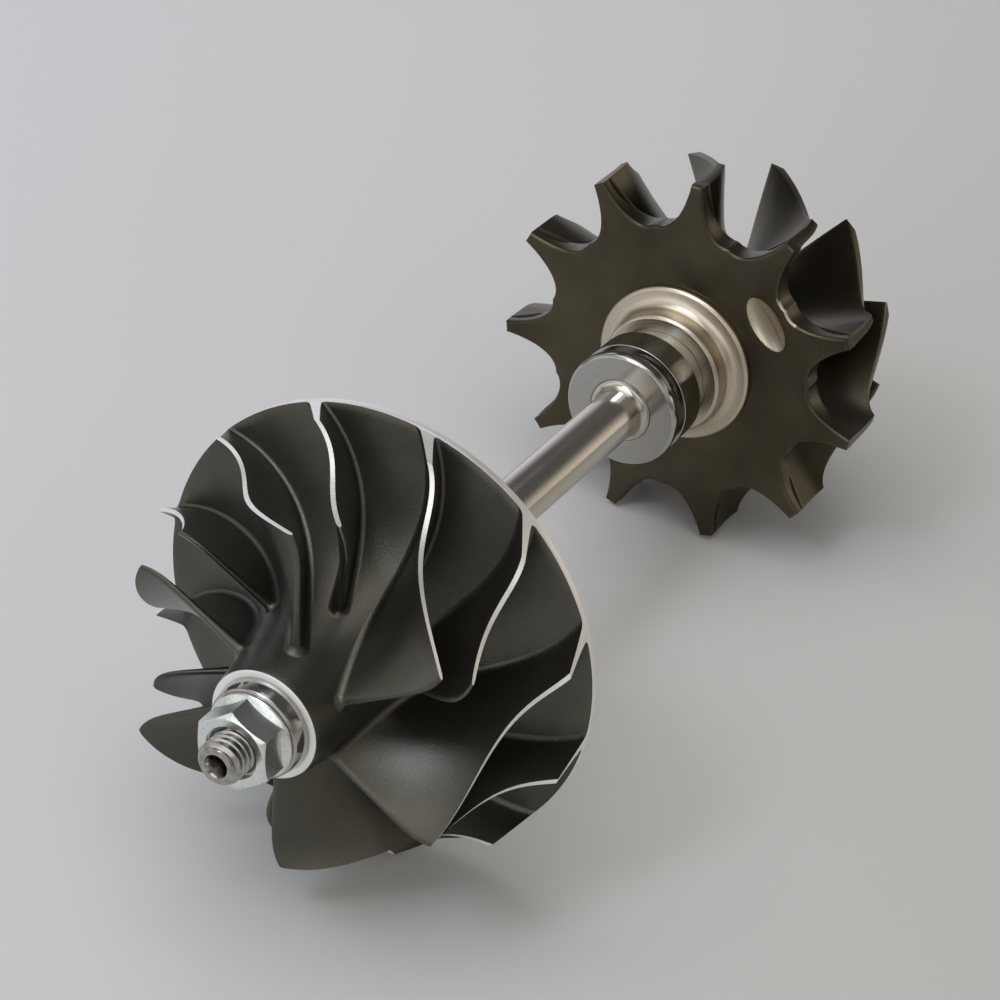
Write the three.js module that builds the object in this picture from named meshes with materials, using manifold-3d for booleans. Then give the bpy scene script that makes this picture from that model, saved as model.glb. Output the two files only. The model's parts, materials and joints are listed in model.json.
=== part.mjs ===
// Turbocharger rotor: a bladed compressor wheel clamped by a flanged nut on a slim
// steel shaft, with a scalloped radial turbine wheel welded to the far end.
// Millimetres, +Z up. The rotor lies as it would on a bench: on the compressor rim and
// on two neighbouring turbine blades, so its axis slopes gently down towards the turbine.
// Along the rotor, x runs from the compressor inlet towards the turbine, and x = 0 is the
// plane of the compressor blades' leading edge tips.
import * as THREE from "three";
import { mergeVertices } from "three/addons/utils/BufferGeometryUtils.js";
import Module from "manifold-3d";

const wasm = await Module();
wasm.setup();

const DEG = Math.PI / 180;
const SEAT_GAP = 0.18; // between a blade root and its hub
const FIT_GAP = 0.05; // between turned pieces that seat on each other
const CHAMFER = 0.3; // on the edges of turned pieces
const ROUND = 48; // sides of a turned piece
const FEW_SIDES = 40; // sides of the compressor hub and the shaft

// Compressor wheel
const BLADE_PAIRS = 6; // full blades, each followed by a splitter
const INDUCER_R = 20.5;
const EXDUCER_R = 25.76;
const BLADE_TE_R = 25.68; // blade ends, just inside the rim
const RIM_FRONT = 17.3;
const RIM_BACK = 18.6;
const TE_SHROUD_X = 13.55; // corner where the shroud line meets the trailing edge
const NOSE_RING_X = -4.12;
const NOSE_RING_R = 6.25;
const LE_ROOT_R = 6.9;
const BACK_RELIEF = [1.0, 15.5]; // behind the rim: x from its back edge, and radius
const BACK_SLOPE = [2.6, 9.2];
const BACK_BOSS_FOOT = 3.6;
const BACK_BOSS_R = 7.6;
const BACK_BOSS_X = 23.4;
const SHOULDER_DEPTH = 0.6; // of the counterbore that takes the shaft's shoulder
const COMPRESSOR_PHASE = 29.17; // degrees, of a full blade's leading edge tip
const LE_BOW = 3.3; // degrees that a full blade's leading edge bulges round the axis
const SPLITTER_ROOT_START = 0.23; // share of the full blade's length that a splitter leaves out
const SPLITTER_TIP_START = 0.33;
const CORNER_POWER = 8; // how late towards the tip the leading edges round off
const FULL_ROOT_T = 1.5;
const SPLITTER_ROOT_T = 1.3;
const TIP_T = 0.5;
const ROOT_FLARE = 0.8; // added to a blade's thickness where it meets the hub
const EDGE_SHARE = 0.4; // thickness of a leading edge, as a share of the blade's

// Nut, collar and shaft
const COLLAR_R = 5.4;
const COLLAR_X = -6.15;
const UNDERCUT = 0.2; // depth of the groove between the collar and the nose ring
const NUT_FLANGE_R = 4.87;
const NUT_FLANGE_T = 0.36;
const NUT_FLANGE_RISE = 0.64; // of the cone between the flange's edge and the flats
const NUT_FLATS = 8.0;
const NUT_CORNER = 25; // degrees, of one of its corners
const NUT_FRONT_X = -10.05;
const NUT_CHAMFER = 0.45;
const NUT_MOUTH_R = 3.0; // wide end of the countersink round the thread
const THREAD_R = 2.5;
const THREAD_ROOT_R = 2.05;
const THREAD_PITCH = 0.8;
const THREAD_HIDDEN = 1.6; // how far the thread's ridges are drawn inside the nut
const STUD_END_X = -12.75;
const STUD_END_R = 2.1;
const STUD_LEAD = 0.55; // plain length in front of the first ridge
const CENTRE_HOLE_R = 1.35;
const CENTRE_HOLE_WAIST = [0.9, 0.95]; // depth and radius where its cone steepens
const CENTRE_HOLE_DEPTH = 2.0;
const STUB_R = 2.4;
const JOURNAL_R = 2.94;
const FOOT_R = 3.84; // the journal's fillet where it meets the seal hub
const FOOT_LENGTH = 1.2;
const FOOT_DEPTH = 0.5; // of the fillet's seat in the seal hub's face

// Seal hub and weld boss
const SEAL_FACE_X = 72.05;
const SEAL_R = 7.05;
const SEAL_GROOVE_R = 5.8;
const SEAL_GROOVE_FROM = 73.4;
const SEAL_GROOVE_TO = 75.0;
const SEAL_END_X = 79.1;
const NECK_R = 5.7;
const BOSS_R = 7.6;
const BOSS_FACE_X = 82.2;
const BOSS_FOOT_R = 9.9;
const BOSS_FOOT_X = 85.3;
const BOSS_FLARE = 1.4; // length of the fillet between the boss and its foot

// Turbine wheel
const TURBINE_BLADES = 11;
const TURBINE_R = 23.37;
const DISC_FACE_X = 86.2;
const ARM_BACK_X = 88.0; // the disc's arms are thinnest at the tips
const ARM_TIP_T = 1.5;
const SCALLOP_R = 17.4; // radius of the disc at the bottom of each scallop
const SCALLOP_SIDE = [0.12, 1.6]; // handle beside the arm: share of the pitch, and radius above that
const SCALLOP_FLOOR = [0.3, -0.6]; // handle beside the bottom
const TIP_BACK_X = 93.4;
const EXDUCER_X = 103.6;
const TURBINE_EXDUCER_R = 20.03;
const EXDUCER_SWEEP = -25.6; // degrees
const TURBINE_PHASE = 24.55; // degrees, of a blade tip
const TURBINE_ROOT_T = 2.0;
const TURBINE_TIP_T = 1.0;
const SWEEP_START = 2.5; // how far in front of the blades' back corners their sweep begins
const TURBINE_NOSE_R = 6.2;
const TURBINE_NOSE_X = 108.6;
const NOSE_FLAT_R = 2.8; // flat end that a balancing centre bears on

const CAST_ALUMINIUM = { color: 0x45433f, roughness: 0.62, metalness: 0.7 };
const ZINC_STEEL = { color: 0xb8c0c0, roughness: 0.3, metalness: 0.9 };
const POLISHED_STEEL = { color: 0xa9a6a2, roughness: 0.15, metalness: 1.0 };
const STUD_STEEL = { color: 0x8d8580, roughness: 0.35, metalness: 1.0 };
const CAST_NICKEL = { color: 0x3b372e, roughness: 0.6, metalness: 0.75 };
const TURNED_NICKEL = { color: 0xb5a98f, roughness: 0.3, metalness: 0.9 };

const rotor = new THREE.Group();

function addPiece(name, geometry, finish) {
  const piece = new THREE.Mesh(geometry, new THREE.MeshStandardMaterial(finish));
  piece.name = name;
  rotor.add(piece);
  return piece;
}

// A solid of revolution about the rotor's axis. The outline is a closed run of [x, radius]
// points, or one that starts and ends on the axis, listed towards +x along the outside.
function turned(outline, sides = ROUND) {
  const profile = outline.map(([x, r]) => new THREE.Vector2(r, x));
  const last = profile[profile.length - 1];
  if (profile[0].x > 0) profile.push(profile[0].clone());
  else if (last.x > 0) throw new Error("an outline that starts on the axis ends on it");
  return new THREE.LatheGeometry(profile, sides).rotateZ(-Math.PI / 2);
}

// A hollow fillet: it leaves the smaller radius along the axis and ends square to it.
function fillet(fromX, fromR, toX, toR) {
  return steps(4).map((t) => [
    fromX + (toX - fromX) * Math.sin(t * 90 * DEG),
    fromR + (toR - fromR) * (1 - Math.cos(t * 90 * DEG)),
  ]);
}

// Meridional curves, as cubics in the plane of x and radius.
function meridian(points) {
  const curve = new THREE.CubicBezierCurve(...points.map(([x, r]) => new THREE.Vector2(x, r)));
  return (u) => {
    const at = curve.getPoint(u);
    return [at.x, at.y];
  };
}

const compressorHubLine = meridian([
  [0, LE_ROOT_R],
  [11.26, 8.0],
  [15.79, 13.0],
  [RIM_FRONT, EXDUCER_R],
]);
const compressorShroudLine = meridian([
  [0, INDUCER_R],
  [2.43, INDUCER_R],
  [12.4, 19.3],
  [TE_SHROUD_X, BLADE_TE_R],
]);
const turbineHubLine = meridian([
  [ARM_BACK_X, TURBINE_R],
  [88.9, 12.6],
  [94.0, 7.4],
  [EXDUCER_X, 6.9],
]);
const turbineShroudLine = meridian([
  [TIP_BACK_X, TURBINE_R],
  [94.2, 21.4],
  [98.0, 20.15],
  [EXDUCER_X, TURBINE_EXDUCER_R],
]);

// A point moved off a meridional curve, square to it and away from the axis.
function lifted(line, u, gap) {
  const [x, r] = line(u);
  const [x2, r2] = line(u + 1e-3);
  const length = Math.hypot(x2 - x, r2 - r);
  return [x - (gap * (r2 - r)) / length, r + (gap * (x2 - x)) / length];
}

function pointAt(x, r, angle) {
  return new THREE.Vector3(x, r * Math.cos(angle), r * Math.sin(angle));
}

// A thin blade. middle(u, w) gives the point of its middle surface at the share u of its
// length and w of its height, and thickness(u, w) its full thickness there. The faces are
// moved off the middle surface along the surface of revolution at that height, so the
// root stays clear of the hub and the tip stays on its turned contour.
function blade(stations, heights, middle, thickness) {
  const polar = (u, w) => {
    const p = middle(u, w);
    return { x: p.x, r: Math.hypot(p.y, p.z), angle: Math.atan2(p.z, p.y) };
  };
  const facePoint = (u, w, side, isEnd) => {
    const here = polar(u, w);
    const next = polar(u + 1e-3, w);
    const along = Math.hypot(next.x - here.x, next.r - here.r);
    const turn = Math.atan2(
      Math.sin(next.angle - here.angle),
      Math.cos(next.angle - here.angle),
    );
    const around = here.r * turn;
    const length = Math.hypot(along, around);
    const offset = (side * thickness(u, w)) / 2;
    if (isEnd) return pointAt(here.x, here.r, here.angle + (offset * length) / along / here.r);
    const slid = polar(u - ((offset * around) / length / along) * 1e-3, w);
    return pointAt(slid.x, slid.r, here.angle + (offset * along) / length / here.r);
  };
  const columns = stations.length;
  const rows = heights.length;
  const positions = [];
  for (const side of [1, -1])
    for (const w of heights)
      stations.forEach((u, i) => {
        positions.push(...facePoint(u, w, side, i === columns - 1).toArray());
      });
  const index = (side, row, column) => (side * rows + row) * columns + column;
  const triangles = [];
  const quad = (a, b, c, d) => triangles.push(a, b, c, a, c, d);
  for (let j = 0; j < rows - 1; j++)
    for (let i = 0; i < columns - 1; i++) {
      quad(index(0, j, i), index(0, j, i + 1), index(0, j + 1, i + 1), index(0, j + 1, i));
      quad(index(1, j, i), index(1, j + 1, i), index(1, j + 1, i + 1), index(1, j, i + 1));
    }
  for (let i = 0; i < columns - 1; i++) {
    quad(index(0, 0, i), index(1, 0, i), index(1, 0, i + 1), index(0, 0, i + 1));
    const top = rows - 1;
    quad(index(0, top, i), index(0, top, i + 1), index(1, top, i + 1), index(1, top, i));
  }
  for (let j = 0; j < rows - 1; j++) {
    const end = columns - 1;
    quad(index(0, j, 0), index(0, j + 1, 0), index(1, j + 1, 0), index(1, j, 0));
    quad(index(0, j, end), index(1, j, end), index(1, j + 1, end), index(0, j + 1, end));
  }
  const geometry = new THREE.BufferGeometry();
  geometry.setAttribute("position", new THREE.Float32BufferAttribute(positions, 3));
  geometry.setIndex(triangles);
  if (signedVolume(geometry) < 0) geometry.index.array.reverse();
  geometry.computeVertexNormals();
  return geometry;
}

function signedVolume(geometry) {
  const at = geometry.getAttribute("position");
  const corner = [0, 1, 2].map(() => new THREE.Vector3());
  let volume = 0;
  for (let i = 0; i < geometry.index.count; i += 3) {
    corner.forEach((v, k) => v.fromBufferAttribute(at, geometry.index.getX(i + k)));
    volume += corner[0].dot(corner[1].clone().cross(corner[2])) / 6;
  }
  return volume;
}

function steps(count, from = 0, to = 1) {
  return Array.from({ length: count + 1 }, (_, i) => from + ((to - from) * i) / count);
}

// Compressor wheel. A blade's wrap round the axis, in radians from its leading edge tip,
// is a smooth function of the share of its length.
const shroudWrap = (u) =>
  -43.25 * DEG * u + u * (1 - u) * (-0.601 - 0.252 * u + 0.7405 * u * u);
const hubWrap = (u) =>
  5.3 * DEG - 55 * DEG * u + u * (1 - u) * (-1.761 + 2.49 * u - 0.503 * u * u);
const axis = new THREE.Vector3(1, 0, 0);

// start(w) is the share of a full blade's length that is left out at the height w, so the
// surface below is one blade's from its own leading edge, at s = 0, to the rim at s = 1.
function compressorMiddle(phase, start) {
  return (s, w) => {
    const u = THREE.MathUtils.lerp(start(w), 1, s);
    const [hubX, hubR] = lifted(compressorHubLine, u, SEAT_GAP);
    const [shroudX, shroudR] = compressorShroudLine(u);
    const reach = Math.min(hubR, BLADE_TE_R);
    const bow = LE_BOW * DEG * (1 - w ** CORNER_POWER) * (1 - u) ** 4;
    const root = pointAt(hubX, reach, phase + hubWrap(u));
    const tip = pointAt(shroudX, shroudR, phase + shroudWrap(u));
    return root.lerp(tip, w).applyAxisAngle(axis, bow);
  };
}

function compressorThickness(rootT) {
  return (s, w) => {
    const flare = w === 0 ? ROOT_FLARE : 0;
    const edge = s === 0 ? EDGE_SHARE : 1;
    return (THREE.MathUtils.lerp(rootT, TIP_T, Math.sqrt(w)) + flare) * edge;
  };
}

function makeCompressorHub() {
  const outline = [
    [NOSE_RING_X, STUB_R + FIT_GAP],
    [NOSE_RING_X, NOSE_RING_R],
    ...steps(12).map((u) => compressorHubLine(u)),
    [RIM_BACK, EXDUCER_R],
    [RIM_BACK + BACK_RELIEF[0], BACK_RELIEF[1]],
    [RIM_BACK + BACK_SLOPE[0], BACK_SLOPE[1]],
    [RIM_BACK + BACK_BOSS_FOOT, BACK_BOSS_R],
    [BACK_BOSS_X, BACK_BOSS_R],
    [BACK_BOSS_X, JOURNAL_R + FIT_GAP],
    [BACK_BOSS_X - SHOULDER_DEPTH, JOURNAL_R + FIT_GAP],
    [BACK_BOSS_X - SHOULDER_DEPTH, STUB_R + FIT_GAP],
  ];
  addPiece("compressor_hub", turned(outline, FEW_SIDES), CAST_ALUMINIUM);
}

function makeCompressorBlades() {
  const splitterStart = (w) =>
    THREE.MathUtils.lerp(SPLITTER_ROOT_START, SPLITTER_TIP_START, w ** CORNER_POWER);
  const heights = [0, 0.1, 0.4, 0.7, 0.9, 1];
  for (let k = 0; k < BLADE_PAIRS; k++) {
    const phase = (COMPRESSOR_PHASE + (k * 360) / BLADE_PAIRS) * DEG;
    const full = blade(
      [0, 0.03, ...steps(11, 0.1, 1)],
      heights,
      compressorMiddle(phase, () => 0),
      compressorThickness(FULL_ROOT_T),
    );
    addPiece(`compressor_blade_${k + 1}`, full, CAST_ALUMINIUM);
    const splitter = blade(
      [0, 0.04, ...steps(8, 0.12, 1)],
      heights,
      compressorMiddle(phase + (180 / BLADE_PAIRS) * DEG, splitterStart),
      compressorThickness(SPLITTER_ROOT_T),
    );
    addPiece(`splitter_blade_${k + 1}`, splitter, CAST_ALUMINIUM);
  }
}

// Collar, nut and shaft
function makeNoseCollar() {
  const outline = [
    [COLLAR_X, STUB_R + FIT_GAP],
    [COLLAR_X, COLLAR_R - CHAMFER],
    [COLLAR_X + CHAMFER, COLLAR_R],
    [NOSE_RING_X - 2 * UNDERCUT, COLLAR_R],
    [NOSE_RING_X - UNDERCUT, COLLAR_R - UNDERCUT],
    [NOSE_RING_X - FIT_GAP, COLLAR_R - UNDERCUT],
    [NOSE_RING_X - FIT_GAP, STUB_R + FIT_GAP],
  ];
  addPiece("nose_collar", turned(outline), POLISHED_STEEL);
}

function solidOf(geometry) {
  const bare = geometry.clone();
  bare.deleteAttribute("normal");
  bare.deleteAttribute("uv");
  const merged = mergeVertices(bare, 1e-4);
  return new wasm.Manifold(
    new wasm.Mesh({
      numProp: 3,
      vertProperties: new Float32Array(merged.attributes.position.array),
      triVerts: new Uint32Array(merged.index.array),
    }),
  );
}

function geometryOf(solid) {
  const mesh = solid.getMesh();
  const geometry = new THREE.BufferGeometry();
  geometry.setAttribute("position", new THREE.BufferAttribute(mesh.vertProperties, 3));
  geometry.setIndex(new THREE.BufferAttribute(mesh.triVerts, 1));
  geometry.computeVertexNormals();
  return geometry;
}

function makeLockNut() {
  const back = COLLAR_X - FIT_GAP;
  const flangeFront = back - NUT_FLANGE_T;
  const cornerR = NUT_FLATS / Math.sqrt(3);
  // The cylinder starts with a corner on +Z, which is 90 degrees round from +Y.
  const hexagon = new THREE.CylinderGeometry(cornerR, cornerR, back - NUT_FRONT_X, 6)
    .rotateZ(-Math.PI / 2)
    .rotateX((NUT_CORNER - 90) * DEG)
    .translate((back + NUT_FRONT_X) / 2, 0, 0);
  const inFlats = NUT_FLATS / 2 - NUT_CHAMFER / 3;
  const turnedShape = turned([
    [NUT_FRONT_X, 0],
    [NUT_FRONT_X, inFlats],
    [NUT_FRONT_X + NUT_CHAMFER, cornerR + FIT_GAP],
    [back, cornerR + FIT_GAP],
    [back, 0],
  ]);
  const flange = turned([
    [flangeFront - NUT_FLANGE_RISE, 0],
    [flangeFront - NUT_FLANGE_RISE, inFlats],
    [flangeFront, NUT_FLANGE_R],
    [back, NUT_FLANGE_R],
    [back, 0],
  ]);
  // The countersink goes on in front of the nut, so that its cone cuts the face clean.
  const countersink = NUT_MOUTH_R - THREAD_R;
  const bore = turned([
    [NUT_FRONT_X - countersink, 0],
    [NUT_FRONT_X - countersink, NUT_MOUTH_R + countersink],
    [NUT_FRONT_X + countersink, THREAD_R + FIT_GAP],
    [back + 1, THREAD_R + FIT_GAP],
    [back + 1, 0],
  ]);
  const nut = solidOf(hexagon)
    .intersect(solidOf(turnedShape))
    .add(solidOf(flange))
    .subtract(solidOf(bore));
  addPiece("lock_nut", geometryOf(nut), ZINC_STEEL);
}

function makeShaft() {
  // The ridges of the thread are drawn where they show, from the end to just inside the nut.
  const threads = [];
  const first = STUD_END_X + STUD_LEAD;
  const threadTo = NUT_FRONT_X + THREAD_HIDDEN;
  const shoulder = BACK_BOSS_X - SHOULDER_DEPTH + FIT_GAP;
  for (let x = first; x < threadTo - THREAD_PITCH; x += THREAD_PITCH) {
    threads.push([x, THREAD_ROOT_R], [x + THREAD_PITCH / 2, THREAD_R]);
  }
  const outline = [
    [STUD_END_X + CENTRE_HOLE_DEPTH, 0],
    [STUD_END_X + CENTRE_HOLE_WAIST[0], CENTRE_HOLE_WAIST[1]],
    [STUD_END_X, CENTRE_HOLE_R],
    [STUD_END_X, STUD_END_R],
    ...threads,
    [threadTo, STUB_R],
    [shoulder, STUB_R],
    [shoulder, JOURNAL_R],
    ...fillet(SEAL_FACE_X - FOOT_LENGTH, JOURNAL_R, SEAL_FACE_X, FOOT_R),
    [SEAL_FACE_X + FOOT_DEPTH - FIT_GAP, FOOT_R],
    [SEAL_FACE_X + FOOT_DEPTH - FIT_GAP, 0],
  ];
  addPiece("shaft", turned(outline, FEW_SIDES), STUD_STEEL);
}

function makeSealHub() {
  const outline = [
    [SEAL_FACE_X + FOOT_DEPTH, 0],
    [SEAL_FACE_X + FOOT_DEPTH, FOOT_R + FIT_GAP],
    [SEAL_FACE_X, FOOT_R + FIT_GAP],
    [SEAL_FACE_X, SEAL_R - CHAMFER],
    [SEAL_FACE_X + CHAMFER, SEAL_R],
    [SEAL_GROOVE_FROM, SEAL_R],
    [SEAL_GROOVE_FROM, SEAL_GROOVE_R],
    [SEAL_GROOVE_TO, SEAL_GROOVE_R],
    [SEAL_GROOVE_TO, SEAL_R],
    [SEAL_END_X - CHAMFER, SEAL_R],
    [SEAL_END_X, SEAL_R - CHAMFER],
    [SEAL_END_X, NECK_R],
    [BOSS_FACE_X - FIT_GAP, NECK_R],
    [BOSS_FACE_X - FIT_GAP, 0],
  ];
  addPiece("seal_hub", turned(outline), POLISHED_STEEL);
}

function makeWeldBoss() {
  const outline = [
    [BOSS_FACE_X, 0],
    [BOSS_FACE_X, BOSS_R - CHAMFER],
    [BOSS_FACE_X + CHAMFER, BOSS_R],
    ...fillet(BOSS_FOOT_X - BOSS_FLARE, BOSS_R, BOSS_FOOT_X, BOSS_FOOT_R - CHAMFER),
    [BOSS_FOOT_X + CHAMFER, BOSS_FOOT_R],
    [DISC_FACE_X - FIT_GAP, BOSS_FOOT_R],
    [DISC_FACE_X - FIT_GAP, 0],
  ];
  addPiece("weld_boss", turned(outline), TURNED_NICKEL);
}

// Turbine wheel. Its disc is cut back in a round scallop between each two blades, and the
// arms that are left carry the blades out to the tips.
function starOutline() {
  const shape = new THREE.Shape();
  const pitch = (360 / TURBINE_BLADES) * DEG;
  const arm = ARM_TIP_T / 2 / TURBINE_R;
  const point = (r, angle) => [r * Math.cos(angle), r * Math.sin(angle)];
  for (let k = 0; k < TURBINE_BLADES; k++) {
    const tip = TURBINE_PHASE * DEG + k * pitch;
    if (k === 0) shape.moveTo(...point(TURBINE_R, tip - arm));
    shape.lineTo(...point(TURBINE_R, tip + arm));
    const handle = ([share, rise], next) =>
      point(SCALLOP_R + rise, tip + (next ? 1 - share : share) * pitch);
    shape.bezierCurveTo(
      ...handle(SCALLOP_SIDE),
      ...handle(SCALLOP_FLOOR),
      ...point(SCALLOP_R, tip + pitch / 2),
    );
    shape.bezierCurveTo(
      ...handle(SCALLOP_FLOOR, true),
      ...handle(SCALLOP_SIDE, true),
      ...point(TURBINE_R, tip + pitch - arm),
    );
  }
  return shape;
}

function makeTurbineHub() {
  const body = turned([
    [DISC_FACE_X, 0],
    [DISC_FACE_X, TURBINE_R + 1],
    [ARM_BACK_X, TURBINE_R + 1],
    ...steps(16).map((u) => turbineHubLine(u)),
    [EXDUCER_X, 0],
  ]);
  const star = new THREE.ExtrudeGeometry(starOutline(), {
    depth: EXDUCER_X + 2 - DISC_FACE_X,
    bevelEnabled: false,
    curveSegments: 4,
  });
  // The outline is drawn in x and y, so it is turned to face along the rotor.
  star.rotateX(Math.PI / 2).rotateZ(Math.PI / 2).translate(DISC_FACE_X - 1, 0, 0);
  addPiece("turbine_hub", geometryOf(solidOf(body).intersect(solidOf(star))), CAST_NICKEL);
}

const bladeSweep = (x) => {
  const from = TIP_BACK_X - SWEEP_START;
  const share = Math.max(0, (x - from) / (EXDUCER_X - from));
  return EXDUCER_SWEEP * DEG * share * share;
};

function makeTurbineBlades() {
  const pitch = (360 / TURBINE_BLADES) * DEG;
  for (let k = 0; k < TURBINE_BLADES; k++) {
    const phase = TURBINE_PHASE * DEG + k * pitch;
    const middle = (u, w) => {
      const [hubX, hubR] = lifted(turbineHubLine, u, SEAT_GAP);
      const [shroudX, shroudR] = turbineShroudLine(u);
      const x = THREE.MathUtils.lerp(hubX, shroudX, w);
      return pointAt(x, THREE.MathUtils.lerp(hubR, shroudR, w), phase + bladeSweep(x));
    };
    const thickness = (u, w) =>
      THREE.MathUtils.lerp(THREE.MathUtils.lerp(ARM_TIP_T, TURBINE_ROOT_T, u), TURBINE_TIP_T, w);
    const swept = blade(steps(10), [0, 0.3, 0.65, 1], middle, thickness);
    addPiece(`turbine_blade_${k + 1}`, swept, CAST_NICKEL);
  }
}

function makeTurbineNose() {
  const outline = [
    [EXDUCER_X + FIT_GAP, 0],
    ...steps(6).map((t) => [
      EXDUCER_X + FIT_GAP + (TURBINE_NOSE_X - EXDUCER_X - FIT_GAP) * Math.sin(t * 90 * DEG),
      NOSE_FLAT_R + (TURBINE_NOSE_R - NOSE_FLAT_R) * Math.cos(t * 90 * DEG),
    ]),
    [TURBINE_NOSE_X, 0],
  ];
  addPiece("turbine_nose", turned(outline, FEW_SIDES), CAST_NICKEL);
}

makeCompressorHub();
makeCompressorBlades();
makeNoseCollar();
makeLockNut();
makeShaft();
makeSealHub();
makeWeldBoss();
makeTurbineHub();
makeTurbineBlades();
makeTurbineNose();

// On the bench the back edge of the compressor rim and the back corners of the two lowest
// turbine blades touch down, and the part's origin is below the middle of its box.
const halfTip = TURBINE_TIP_T / 2 / TURBINE_R;
const tipDrop = TURBINE_R * Math.cos(Math.PI / TURBINE_BLADES - halfTip);
rotor.rotation.y = Math.atan((EXDUCER_R - tipDrop) / (TIP_BACK_X - RIM_BACK));
rotor.updateMatrixWorld(true);
const box = new THREE.Box3().setFromObject(rotor, true);
const middle = box.getCenter(new THREE.Vector3());
rotor.position.set(-middle.x, -middle.y, -box.min.z);

const part = new THREE.Group();
part.add(rotor);
export default part;
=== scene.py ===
import bpy
import json
import math
import numpy as np
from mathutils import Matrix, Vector


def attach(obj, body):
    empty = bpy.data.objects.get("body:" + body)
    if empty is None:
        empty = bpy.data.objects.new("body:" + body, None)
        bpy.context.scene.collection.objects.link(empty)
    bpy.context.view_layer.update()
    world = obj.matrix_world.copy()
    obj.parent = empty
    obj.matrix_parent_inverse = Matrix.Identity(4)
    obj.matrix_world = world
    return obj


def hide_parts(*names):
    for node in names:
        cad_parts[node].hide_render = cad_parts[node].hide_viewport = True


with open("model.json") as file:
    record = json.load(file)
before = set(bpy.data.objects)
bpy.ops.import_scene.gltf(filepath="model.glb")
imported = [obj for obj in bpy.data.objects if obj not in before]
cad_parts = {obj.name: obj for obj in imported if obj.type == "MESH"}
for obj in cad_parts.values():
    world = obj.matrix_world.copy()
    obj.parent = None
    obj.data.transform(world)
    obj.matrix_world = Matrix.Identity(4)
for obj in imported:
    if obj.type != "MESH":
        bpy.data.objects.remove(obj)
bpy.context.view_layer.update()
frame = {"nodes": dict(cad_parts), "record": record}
print("frame loaded:", len(frame["nodes"]), "nodes")

# The rotor is modelled along +X in millimetres, x = 0 at the compressor blades' front tips.
# The mount on the end of its turbine nose then gives its slope and place on the bench.
noseEndX = 108.6
noseEnd = next(mount for mount in frame["record"]["mounts"] if mount["name"] == "turbine_nose_end")
benchSlope = math.atan2(-noseEnd["axis"][2], noseEnd["axis"][0])
benchPlace = Vector(noseEnd["pos_m"]) - Vector(noseEnd["axis"]) * noseEndX / 1000
seatGap = 0.04  # between turned pieces that meet face to face


def mm(value):
    return value / 1000


def deselectAll():
    if bpy.context.object and bpy.context.object.mode != "OBJECT":
        bpy.ops.object.mode_set(mode="OBJECT")
    bpy.ops.object.select_all(action="DESELECT")


def makeActive(piece):
    deselectAll()
    piece.select_set(True)
    bpy.context.view_layer.objects.active = piece


def applyPlace(piece):
    makeActive(piece)
    bpy.ops.object.transform_apply(location=True, rotation=True, scale=True)


def turnAboutShaft(piece, degrees):
    piece.rotation_euler = (math.radians(degrees), 0, 0)
    applyPlace(piece)


def layOnBench(piece):
    piece.rotation_euler = (0, benchSlope, 0)
    piece.location = benchPlace
    applyPlace(piece)


def nameWithMesh(piece, name):
    piece.name = name
    piece.data.name = name


def copyPiece(piece, name):
    twin = piece.copy()
    twin.data = piece.data.copy()
    nameWithMesh(twin, name)
    bpy.context.scene.collection.objects.link(twin)
    return twin


def applyModifier(piece, kind, **settings):
    makeActive(piece)
    modifier = piece.modifiers.new(kind.lower(), kind)
    for key, value in settings.items():
        setattr(modifier, key, value)
    bpy.ops.object.modifier_apply(modifier=modifier.name)


def cutWith(piece, tool, operation):
    applyModifier(piece, "BOOLEAN", operation=operation, object=tool, solver="EXACT")
    bpy.data.objects.remove(tool)


def roundEdges(piece, width, segments=3, angle=28):
    applyModifier(piece, "BEVEL", width=mm(width), segments=segments,
                  limit_method="ANGLE", angle_limit=math.radians(angle))


def smoothShade(piece, angle=32, keepFlats=False):
    makeActive(piece)
    bpy.ops.object.shade_smooth_by_angle(angle=math.radians(angle))
    if keepFlats:
        applyModifier(piece, "WEIGHTED_NORMAL", keep_sharp=True, weight=80)


def tidySkin(piece, mergeAt=0.0008):
    makeActive(piece)
    bpy.ops.object.mode_set(mode="EDIT")
    bpy.ops.mesh.select_all(action="SELECT")
    bpy.ops.mesh.remove_doubles(threshold=mm(mergeAt))
    bpy.ops.mesh.select_all(action="SELECT")
    bpy.ops.mesh.normals_make_consistent(inside=False)
    bpy.ops.object.mode_set(mode="OBJECT")


def fillOpenEnds():
    # In edit mode: a face over each open ring of edges
    bpy.ops.mesh.select_mode(type="EDGE")
    bpy.ops.mesh.select_all(action="DESELECT")
    bpy.ops.mesh.select_non_manifold(extend=False)
    bpy.ops.mesh.fill_holes(sides=0)
    bpy.ops.mesh.select_mode(type="VERT")


# Turned pieces: one ring is extruded and resized along the outline, as on a lathe.
def turnOutline(name, outline, sides=144):
    deselectAll()
    x, radius = outline[0]
    bpy.ops.mesh.primitive_circle_add(vertices=sides, radius=mm(radius), location=(mm(x), 0, 0),
                                      rotation=(0, math.pi / 2, 0))
    piece = bpy.context.active_object
    nameWithMesh(piece, name)
    applyPlace(piece)
    bpy.ops.object.mode_set(mode="EDIT")
    bpy.ops.mesh.select_all(action="SELECT")
    for nextX, nextRadius in outline[1:]:
        bpy.ops.mesh.extrude_region_move(
            TRANSFORM_OT_translate={"value": (mm(nextX - x), 0, 0)})
        factor = nextRadius / radius
        bpy.ops.transform.resize(value=(1, factor, factor), center_override=(mm(nextX), 0, 0))
        x, radius = nextX, nextRadius
    if outline[0] != outline[-1]:
        fillOpenEnds()
    tidySkin(piece)
    return piece


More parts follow.
